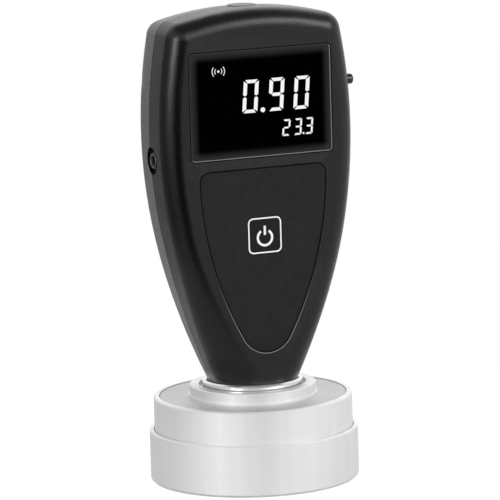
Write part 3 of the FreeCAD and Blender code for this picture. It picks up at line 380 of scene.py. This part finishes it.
def turningGroup():
    # Marks of the lathe: fine rings round the vertical axis, and broad upright streaks of painted reflection in
    # place of the sheen of the polish; Size in mm
    tree, start, end = maskGroup("turning", {"Size": 0.2}, ["Rings", "Streaks"])
    add, link = tree.nodes.new, tree.links.new
    _, axes = objectPlace(tree)
    flat, section = add("ShaderNodeCombineXYZ"), add("ShaderNodeCombineXYZ")
    radius, around = add("ShaderNodeVectorMath"), add("ShaderNodeVectorMath")
    radius.operation, around.operation = "LENGTH", "NORMALIZE"
    link(axes["X"], flat.inputs["X"])
    link(axes["Y"], flat.inputs["Y"])
    link(flat.outputs["Vector"], radius.inputs[0])
    link(flat.outputs["Vector"], around.inputs[0])
    link(radius.outputs["Value"], section.inputs["X"])
    link(axes["Z"], section.inputs["Y"])
    scale = compute(tree, "DIVIDE", 1 / mm, start.outputs["Size"])
    rings = noise(tree, section.outputs["Vector"], scale, turningLook["ringDetail"], dimensions="2D")
    reflectionStreaks = noise(tree, around.outputs["Vector"], turningLook["reflectionStreakScale"], turningLook["reflectionStreakDetail"])
    link(rings, end.inputs["Rings"])
    link(reflectionStreaks, end.inputs["Streaks"])
    return tree


def addFinish(name, **constants):
    made = bpy.data.materials.new(name)
    made.use_nodes = True
    shader = made.node_tree.nodes["Principled BSDF"].inputs
    for socket, value in constants.items():
        shader[socket].default_value = value
    return made, made.node_tree, shader


def addRelief(tree, shader, height, depth):
    relief = tree.nodes.new("ShaderNodeBump")
    relief.inputs["Strength"].default_value = 1.0
    relief.inputs["Distance"].default_value = depth * mm
    tree.links.new(height, relief.inputs["Height"])
    tree.links.new(relief.outputs["Normal"], shader["Normal"])


def turnedMetal(name, color, roughness, metallic, ringSize=0.2, ringAndSheenSpread=0.03, bump=0.0004):
    # A turned finish: rings in colour, roughness and relief, and upright streaks of painted reflection in
    # colour
    made, tree, shader = addFinish(name, Metallic=metallic)
    t = turningLook
    marks = placeGroup(tree, turningTree, Size=ringSize)
    blend = compute(tree, "MULTIPLY_ADD", marks["Rings"], t["ringShare"], marks["Streaks"])
    level = fade(tree, blend, t["low"], t["high"])
    tint = mixColors(tree, level, shade(color, 1 - ringAndSheenSpread), shade(color, 1 + ringAndSheenSpread))
    worn = mixColors(tree, placeGroup(tree, wearTree)["Edge"], tint, shade(color, wearLook["metalFactor"]))
    rough = fade(tree, marks["Rings"], 0.0, 1.0, roughness - t["roughSpread"], roughness + t["roughSpread"])
    tree.links.new(worn, shader["Base Color"])
    tree.links.new(rough, shader["Roughness"])
    addRelief(tree, shader, marks["Rings"], bump)
    return made


def material(name, color, roughness, metallic=0.0, grainSize=0.3, contrast=1.0, colorSpread=0.0,
             roughSpread=0.1, bump=0.0, coat=0.0, specular=0.5):
    # One finish with its own grain in colour, roughness and relief; color may be a function that paints instead
    made, tree, shader = addFinish(name, Metallic=metallic, **{
        "Coat Weight": coat, "Coat Roughness": finishLimits["coatRoughness"], "Specular IOR Level": specular})
    grain = placeGroup(tree, grainTree, Size=grainSize, Contrast=contrast)["Mask"]
    if callable(color):
        color(tree, shader)
    else:
        tint = mixColors(tree, grain, shade(color, 1 - colorSpread), shade(color, 1 + colorSpread))
        edge = shade(color, wearLook["factor"], wearLook["lift"])
        tree.links.new(mixColors(tree, placeGroup(tree, wearTree)["Edge"], tint, edge), shader["Base Color"])
    rough = fade(tree, grain, 0.0, 1.0, max(finishLimits["smoothest"], roughness - roughSpread),
                 min(1.0, roughness + roughSpread))
    tree.links.new(rough, shader["Roughness"])
    if bump:
        addRelief(tree, shader, grain, bump)
    return made


makeCamera()
makeRoom()
for name, lamp in lamps.items():
    makeLamp(name, **lamp)
makeFloor()
shadeTree, grainTree, wearTree, turningTree = smoothGroup(), grainGroup(), wearGroup(), turningGroup()
print("camera, studio and groups ready")

# Size and place of the lens, and the bands laid round lens and film
trim = {"lensHalf": (24.05, 17.0), "lensCentre": 121.5, "lensCorner": 1.2, "lensFace": -13.4, "rimInset": 0.06,
        "rimWidth": 0.26, "rimRise": 0.02, "groove": 0.42, "lip": 0.3, "overlap": 0.02, "shellFace": -13.5,
        "bandRise": 0.02}
# Painted colours and where they change, in mm; fadeFrom and fadeTo count inwards from the lens edge
lensPaint = {"fadeFrom": 3.4, "fadeTo": 0.2, "middle": (0.0004, 0.0004, 0.0004, 1),
             "border": (0.026, 0.026, 0.027, 1)}
# Painted highlight on the lens edge: lighter on its right and bottom sides
rimHighlightPaint = {"right": (23.2, 23.7), "bottom": (105.3, 104.8), "dark": (0.028, 0.028, 0.029, 1),
            "lit": (0.2, 0.2, 0.2, 1)}
# Painted highlight on the lip round the film, brighter towards its lower tip
lipHighlightPaint = {"fade": (70, 45), "high": (0.012, 0.012, 0.012, 1), "low": (0.17, 0.17, 0.17, 1)}
# Along a cell's height: share where a band starts, and its grey level or its share of bare metal
cellPaint = {"bands": ((0.0, 0.6), (0.02, 0.065), (0.76, 0.5), (0.84, 0.065), (0.975, 0.6)),
             "steel": ((0.0, 1.0), (0.02, 0.0), (0.975, 1.0)), "blue": 1.03}
litSegment = {"strength": 0.78, "color": (0.96, 0.97, 1.0, 1)}


def paintLens(tree, shader):
    # Black gloss that turns a little greyer towards its edges
    _, axes = objectPlace(tree)
    masks = []
    for axis, centre, half in (("X", 0.0, trim["lensHalf"][0]), ("Z", trim["lensCentre"], trim["lensHalf"][1])):
        off = compute(tree, "ABSOLUTE", compute(tree, "SUBTRACT", axes[axis], centre * mm))
        masks.append(fade(tree, off, (half - lensPaint["fadeFrom"]) * mm, (half - lensPaint["fadeTo"]) * mm,
                          smooth=True))
    edge = compute(tree, "MINIMUM", compute(tree, "ADD", *masks), 1.0)
    tree.links.new(mixColors(tree, edge, lensPaint["middle"], lensPaint["border"]), shader["Base Color"])


def paintRimHighlight(tree, shader):
    # Painted highlight: the lens edge is painted lighter on its right and bottom sides, as if it caught light
    # there
    _, axes = objectPlace(tree)
    right, bottom = [fade(tree, axes[axis], rimHighlightPaint[side][0] * mm, rimHighlightPaint[side][1] * mm)
                     for axis, side in (("X", "right"), ("Z", "bottom"))]
    tint = mixColors(tree, compute(tree, "MAXIMUM", right, bottom), rimHighlightPaint["dark"], rimHighlightPaint["lit"])
    tree.links.new(tint, shader["Base Color"])


def paintLipHighlight(tree, shader):
    # Painted highlight: the lip round the keypad film is painted brighter towards its lower tip, where its edge
    # would catch light
    _, axes = objectPlace(tree)
    start, end = lipHighlightPaint["fade"]
    level = fade(tree, axes["Z"], start * mm, end * mm, smooth=True)
    tree.links.new(mixColors(tree, level, lipHighlightPaint["high"], lipHighlightPaint["low"]), shader["Base Color"])


def paintCell(tree, shader):
    # Sleeve with a pale band near the top and bare steel ends
    _, axes = objectPlace(tree)
    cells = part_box("battery_cells")
    height = fade(tree, axes["Z"], cells[0][2], cells[1][2])
    for stops, socket in (("bands", "Base Color"), ("steel", "Metallic")):
        shades = tree.nodes.new("ShaderNodeValToRGB")
        ramp = shades.color_ramp
        ramp.interpolation = "CONSTANT"
        while len(ramp.elements) < len(cellPaint[stops]):
            ramp.elements.new(0.5)
        for element, (position, level) in zip(ramp.elements, cellPaint[stops]):
            element.position, element.color = position, grey(level, cellPaint["blue"])
        tree.links.new(height, shades.inputs["Fac"])
        tree.links.new(shades.outputs["Color"], shader[socket])


finishes = {finish.name: finish for finish in (
    material("sparkBlack", (0.0016, 0.0016, 0.0018), 0.25, grainSize=0.22, contrast=2.4, colorSpread=0.15,
             roughSpread=0.06, bump=0.014, specular=0.4),
    material("filmBlack", (0.0085, 0.0085, 0.0085), 0.55, grainSize=0.5, colorSpread=0.05, roughSpread=0.05,
             bump=0.002, specular=0.14),
    material("keyBlack", (0.0085, 0.0085, 0.0085), 0.5, grainSize=0.4, colorSpread=0.05, roughSpread=0.05,
             bump=0.003, specular=0.14),
    material("glossBlack", (0.01, 0.01, 0.01), 0.18, grainSize=1.0, roughSpread=0.05, bump=0.002),
    material("softBlack", (0.014, 0.014, 0.014), 0.6, grainSize=0.4, roughSpread=0.08, bump=0.006),
    # Both aluminium finishes carry painted reflection streaks along with their real lathe rings
    turnedMetal("satinAluminium", (0.84, 0.838, 0.835), 0.52, 0.75, ringAndSheenSpread=0.022),
    turnedMetal("turnedAluminium", (0.53, 0.53, 0.53), 0.5, 0.45, ringSize=0.3, ringAndSheenSpread=0.04),
    material("polishedSteel", (0.86, 0.87, 0.88), 0.08, metallic=1.0, grainSize=2.0, roughSpread=0.03),
    material("plainSteel", (0.62, 0.63, 0.65), 0.3, metallic=1.0, colorSpread=0.05),
    material("blackScrew", (0.05, 0.05, 0.055), 0.35, metallic=0.8),
    material("boardGreen", (0.02, 0.13, 0.06), 0.4, grainSize=1.2, colorSpread=0.15, coat=0.3),
    material("nylonCream", (0.75, 0.72, 0.62), 0.5, grainSize=0.6, colorSpread=0.04),
    material("whitePlastic", (0.78, 0.78, 0.76), 0.45, grainSize=0.6, colorSpread=0.03, bump=0.002),
    material("greyRubber", (0.16, 0.16, 0.17), 0.6, grainSize=0.4, colorSpread=0.1, bump=0.005),
    material("noseGrey", (0.05, 0.05, 0.05), 0.3, grainSize=0.4, colorSpread=0.1, bump=0.003),
    material("chipBlack", (0.02, 0.02, 0.022), 0.55, bump=0.003),
    material("lcdGlass", (0.03, 0.035, 0.035), 0.1, grainSize=1.0, coat=0.5),
    material("printWhite", (0.82, 0.82, 0.82), 0.5, colorSpread=0.03),
    # Painted shade: a black band with no gloss that stands in for the shade in the gap round the film
    material("grooveShadeBlack", (0.0008, 0.0008, 0.0008), 0.7, grainSize=0.5, colorSpread=0.3, specular=0.0),
    material("litSegment", (0.12, 0.12, 0.12), 0.6, grainSize=1.0, colorSpread=0.02, specular=0.1),
    material("cellSleeve", paintCell, 0.3, grainSize=1.5, coat=0.4),
    material("lensBlack", paintLens, 0.12, grainSize=1.5, roughSpread=0.02, specular=0.0),
    material("lensRimHighlight", paintRimHighlight, 0.35, grainSize=1.0, specular=0.2),
    material("filmLipHighlight", paintLipHighlight, 0.35, grainSize=0.6, specular=0.3))}
glowing = finishes["litSegment"].node_tree.nodes["Principled BSDF"].inputs
glowing["Emission Strength"].default_value = litSegment["strength"]
glowing["Emission Color"].default_value = litSegment["color"]
print("finishes ready:", len(finishes))

# The finish of each solid, and the round on its corners in mm
solidFinishes = {
    "sample_cup": ("satinAluminium", 0.12), "sample_dish": ("whitePlastic", 0.1),
    "measuring_head": ("satinAluminium", 0.12), "head_seal": ("softBlack", 0.0),
    "head_plate": ("turnedAluminium", 0.0), "sensor_guard": ("plainSteel", 0.0),
    "sensor_board": ("boardGreen", 0.0), "humidity_sensor": ("whitePlastic", 0.05),
    "temperature_sensor": ("chipBlack", 0.05), "sensor_socket": ("nylonCream", 0.1),
    "sensor_lead": ("greyRubber", 0.0), "sensor_screws": ("plainSteel", 0.1),
    "head_screws": ("plainSteel", 0.1), "head_collar": ("satinAluminium", 0.1),
    "neck_ring": ("polishedSteel", 0.1), "neck_screws": ("plainSteel", 0.1),
    "front_shell": ("sparkBlack", 0.1), "rear_shell": ("sparkBlack", 0.1),
    "battery_door": ("sparkBlack", 0.1), "battery_cells": ("cellSleeve", 0.1),
    "battery_springs": ("plainSteel", 0.0), "battery_contacts": ("plainSteel", 0.0),
    "display_window": ("lensBlack", 0.12), "keypad_overlay": ("filmBlack", 0.0),
    "power_key": ("keyBlack", 0.1), "power_plunger": ("chipBlack", 0.0), "power_switch": ("chipBlack", 0.1),
    "side_button": ("glossBlack", 0.0), "side_plunger": ("chipBlack", 0.0), "side_switch": ("chipBlack", 0.1),
    "data_jack": ("glossBlack", 0.1), "top_plug": ("sparkBlack", 0.1), "lcd_panel": ("lcdGlass", 0.1),
    "lcd_frame": ("whitePlastic", 0.1), "backlight": ("whitePlastic", 0.1), "zebra_strips": ("greyRubber", 0.1),
    "main_board": ("boardGreen", 0.0), "board_screws": ("plainSteel", 0.1), "case_screws": ("blackScrew", 0.1),
    "board_chips": ("chipBlack", 0.1), "board_connector": ("nylonCream", 0.1), "buzzer": ("chipBlack", 0.1),
}
for nodeName, (finishName, edge) in solidFinishes.items():
    solid = nodes[nodeName]
    solid.data.materials.clear()
    solid.data.materials.append(finishes[finishName])
    smooth(solid, edge)
print("solids dressed:", len(solidFinishes))

# The lit figures: x and z of each figure's lower left corner, and x, z and radius of the dots.
# Mitre, point and reach shape the bars' ends, as shares of a bar's width
readout = {"face": -13.4, "thick": 0.03, "gap": 0.14, "smallGap": 0.084, "slant": 0.085, "dotSides": 24,
           "big": {"width": 5.1, "height": 10.4, "upright": 1.3, "level": 1.05},
           "small": {"width": 2.65, "height": 5.2, "upright": 0.66, "level": 0.56},
           "bigFigures": (("0", -6.5, 118.6), ("9", 2.3, 118.6), ("0", 10.9, 118.5)),
           "smallFigures": (("2", 6.85, 110.4), ("3", 10.8, 110.4), ("3", 14.6, 110.4)),
           "bigDot": (0.53, 119.25, 0.78), "smallDot": (14.2, 110.8, 0.33),
           "mitre": 0.25, "point": 0.3, "reach": 0.6}
waveSign = {"centre": (-14.17, 132.42), "dot": 0.38, "radii": (1.2, 2.12), "stroke": 0.24, "halfAngle": 41}
segmentsOn = {"0": "abcdef", "2": "abged", "3": "abgcd", "9": "abcdfg"}


def digit(bm, figure, x0, z0, gap, width, height, upright, level):
    # A seven-segment figure: upright bars and level bars of their own widths, mitred where they meet
    w, h, u, v, g = width, height, upright, level, gap
    half, point, mitre = h / 2, u * readout["point"], readout["mitre"]
    inner, bend = u * readout["reach"] + g, u * readout["reach"] + v / 2 + g
    top = [(u * mitre + g, h), (w - u * mitre - g, h), (w - u, h - v), (u, h - v)]
    leftHigh = [(0, h - v * mitre - g), (u - g / 2, h - v - g), (u - g / 2, half + point + g),
                (u / 2, half + g), (0, half + point + g)]
    middle = [(inner, half), (bend, half + v / 2), (w - bend, half + v / 2), (w - inner, half),
              (w - bend, half - v / 2), (bend, half - v / 2)]
    leftLow = [(x, h - z) for x, z in reversed(leftHigh)]
    outlines = {"a": top, "d": [(x, h - z) for x, z in reversed(top)], "f": leftHigh, "e": leftLow,
                "g": middle, "b": [(w - x, z) for x, z in reversed(leftHigh)],
                "c": [(w - x, z) for x, z in reversed(leftLow)]}
    for letter in segmentsOn[figure]:
        corners = [(x0 + x + z * readout["slant"], z0 + z) for x, z in outlines[letter]]
        plate(bm, corners, readout["face"] + sunk, readout["face"] - readout["thick"])


def dot(bm, x, z, radius):
    turns = [2 * math.pi * i / readout["dotSides"] for i in range(readout["dotSides"])]
    plate(bm, [(x + radius * math.cos(a), z + radius * math.sin(a)) for a in turns],
          readout["face"] + sunk, readout["face"] - readout["thick"])


def makeReadout():
    bm = bmesh.new()
    for size, gap in (("big", "gap"), ("small", "smallGap")):
        for figure, x0, z0 in readout[size + "Figures"]:
            digit(bm, figure, x0, z0, readout[gap], **readout[size])
        dot(bm, *readout[size + "Dot"])
    lay("readoutSegments", bm, "meter", "litSegment")


def makeWaveSign():
    bm = bmesh.new()
    (x, z), half = waveSign["centre"], waveSign["halfAngle"]
    dot(bm, x, z, waveSign["dot"])
    for side in (0, 180):
        for radius in waveSign["radii"]:
            arcBand(bm, x, z, radius, waveSign["stroke"], side - half, side + half, readout["face"],
                    readout["thick"])
    lay("waveSign", bm, "meter", "litSegment")


keyPrint = {"face": -13.4, "thick": 0.02, "half": 5.45, "corner": 1.5, "cornerSteps": 8, "line": 0.45,
            "centre": 79.6, "signRadius": 2.45, "signLine": 0.75, "signCentre": 78.85, "signGap": 33,
            "barLow": 79.7, "barHigh": 82.6}


def makeKeyPrint():
    # The printed frame of the key, and its power sign
    k = keyPrint
    back, front = k["face"] + sunk, k["face"] - k["thick"]
    outer, inner = [roundedOblong(k["half"] + grow, k["half"] + grow, k["corner"] + grow, k["centre"],
                                  k["cornerSteps"]) for grow in (k["line"] / 2, -k["line"] / 2)]
    bm = bmesh.new()
    outlineBand(bm, outer, inner, back, front)
    lay("keyFrame", bm, "key", "printWhite")
    bm = bmesh.new()
    arcBand(bm, 0, k["signCentre"], k["signRadius"], k["signLine"], 90 + k["signGap"], 450 - k["signGap"],
            k["face"], k["thick"])
    w = k["signLine"] / 2
    plate(bm, [(-w, k["barLow"]), (w, k["barLow"]), (w, k["barHigh"]), (-w, k["barHigh"])], back, front)
    lay("powerSign", bm, "key", "printWhite")


def makeLensRim():
    # A band round the lens edge, with a painted highlight on its right and bottom sides
    t = trim
    (halfX, halfZ), near = t["lensHalf"], t["rimInset"]
    far = near + t["rimWidth"]
    bm = bmesh.new()
    outer = roundedOblong(halfX - near, halfZ - near, t["lensCorner"], t["lensCentre"])
    inner = roundedOblong(halfX - far, halfZ - far, t["lensCorner"] - t["rimWidth"], t["lensCentre"])
    outlineBand(bm, outer, inner, t["lensFace"] + sunk, t["lensFace"] - t["rimRise"])
    lay("lensEdge", bm, "meter", "lensRimHighlight")


def filmOutline():
    # The film's front outline as corners in mm, from a merged copy of its mesh
    bm = bmesh.new()
    bm.from_mesh(nodes["keypad_overlay"].data)
    bmesh.ops.remove_doubles(bm, verts=bm.verts, dist=sameCorner)
    front = min(v.co.y for v in bm.verts)
    behind = [f for f in bm.faces if max(v.co.y for v in f.verts) > front + sameFace]
    bmesh.ops.delete(bm, geom=behind, context="FACES")
    rim = [e for e in bm.edges if len(e.link_faces) == 1]
    left, chains = set(rim), []
    for edge in rim:
        if edge not in left:
            continue
        left.discard(edge)
        chain = list(edge.verts)
        following = [e for e in chain[-1].link_edges if e in left]
        while following:
            left.discard(following[0])
            chain.append(following[0].other_vert(chain[-1]))
            following = [e for e in chain[-1].link_edges if e in left]
        chains.append(chain[:-1] if chain[0] is chain[-1] else chain)
    longest = max(chains, key=lambda c: sum((a.co - b.co).length for a, b in zip(c, c[1:])))
    outline = [(v.co.x / mm, v.co.z / mm) for v in longest]
    bm.free()
    return outline


def offsetLoop(outline, amount):
    # Moves every corner of a closed outline outwards
    pairs = list(zip(outline, outline[1:] + outline[:1]))
    outward = 1 if sum(ax * bz - bx * az for (ax, az), (bx, bz) in pairs) > 0 else -1
    moved = []
    for i, (x, z) in enumerate(outline):
        (ax, az), (bx, bz) = outline[i - 1], outline[(i + 1) % len(outline)]
        along = Vector((bx - ax, bz - az)).normalized() * amount * outward
        moved.append((x + along.y, z - along.x))
    return moved


def makeFilmLip():
    # A dark groove of painted shade and a lip with a painted highlight, both following the film's outline
    t = trim
    outline = filmOutline()
    start, middle, end = [offsetLoop(outline, out) for out in
                          (-t["overlap"], t["groove"], t["groove"] + t["lip"])]
    for name, inner, outer, finishName in (("filmGrooveShade", start, middle, "grooveShadeBlack"),
                                           ("filmLipHighlight", middle, end, "filmLipHighlight")):
        bm = bmesh.new()
        outlineBand(bm, outer, inner, t["shellFace"] + t["bandRise"], t["shellFace"] - t["bandRise"])
        lay(name, bm, "meter", finishName)


jackNose = {"y": -0.7, "z": 104.3, "bore": 1.75, "radius": 2.4, "mouth": -31.1, "tip": -32.0, "overlap": 0.02,
            "outerChamfer": 0.15, "innerChamfer": 0.25}


def makeJackNose():
    # The threaded nose of the jack comes up to the wall of the housing
    j = jackNose
    foot, cut, lead = j["mouth"] + j["overlap"], j["outerChamfer"], j["innerChamfer"]
    section = [(j["bore"], foot), (j["radius"], foot), (j["radius"], j["tip"] + cut),
               (j["radius"] - cut, j["tip"]), (j["bore"] + lead, j["tip"]), (j["bore"], j["tip"] + lead)]
    bm = bmesh.new()
    verts = [bm.verts.new((x * mm, (j["y"] + r) * mm, j["z"] * mm)) for r, x in section]
    fullTurn(bm, verts, verts[:1], (0, j["y"], j["z"]), (1, 0, 0))
    smooth(lay("jackNose", bm, "meter", "noseGrey"))


# Radii and heights in mm; notch is half its angle in degrees
plug = {"radius": 4.5, "neck": 3.9, "low": 146.6, "seat": 150.55, "shoulder": 151.06, "crown": 151.18,
        "edge": 0.12, "step": 0.01, "overlap": 0.1, "notch": 9}


def makeTopPlug():
    # A flat cap on a neck, with a notch to lift it by
    p = plug
    bm = bmesh.new()
    core = [(0, p["low"]), (p["neck"], p["low"]), (p["neck"], p["crown"]), (0, p["crown"])]
    fullTurn(bm, [bm.verts.new((r * mm, 0, z * mm)) for r, z in core], [], (0, 0, 0), (0, 0, 1))
    inside, top = p["neck"] - p["overlap"], p["crown"] - p["step"]
    lip = [(inside, p["seat"]), (p["radius"], p["seat"]), (p["radius"], p["shoulder"]),
           (p["radius"] - p["edge"], top), (inside, top)]
    verts = [bm.verts.new((r * mm, 0, z * mm)) for r, z in lip]
    face = bm.faces.new(verts)
    bmesh.ops.rotate(bm, verts=verts, cent=(0, 0, 0), matrix=Matrix.Rotation(math.radians(p["notch"]), 3, "Z"))
    bmesh.ops.spin(bm, geom=[face], cent=(0, 0, 0), axis=(0, 0, 1), angle=math.radians(360 - 2 * p["notch"]),
                   steps=rounding["turnSteps"])
    obj = lay("plugCap", bm, "meter", "sparkBlack")
    smooth(obj)
    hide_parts("top_plug")


makeReadout()
makeWaveSign()
makeKeyPrint()
print("readout and key print ready")
makeLensRim()
makeFilmLip()
makeJackNose()
makeTopPlug()
print("trim, jack nose and plug ready")
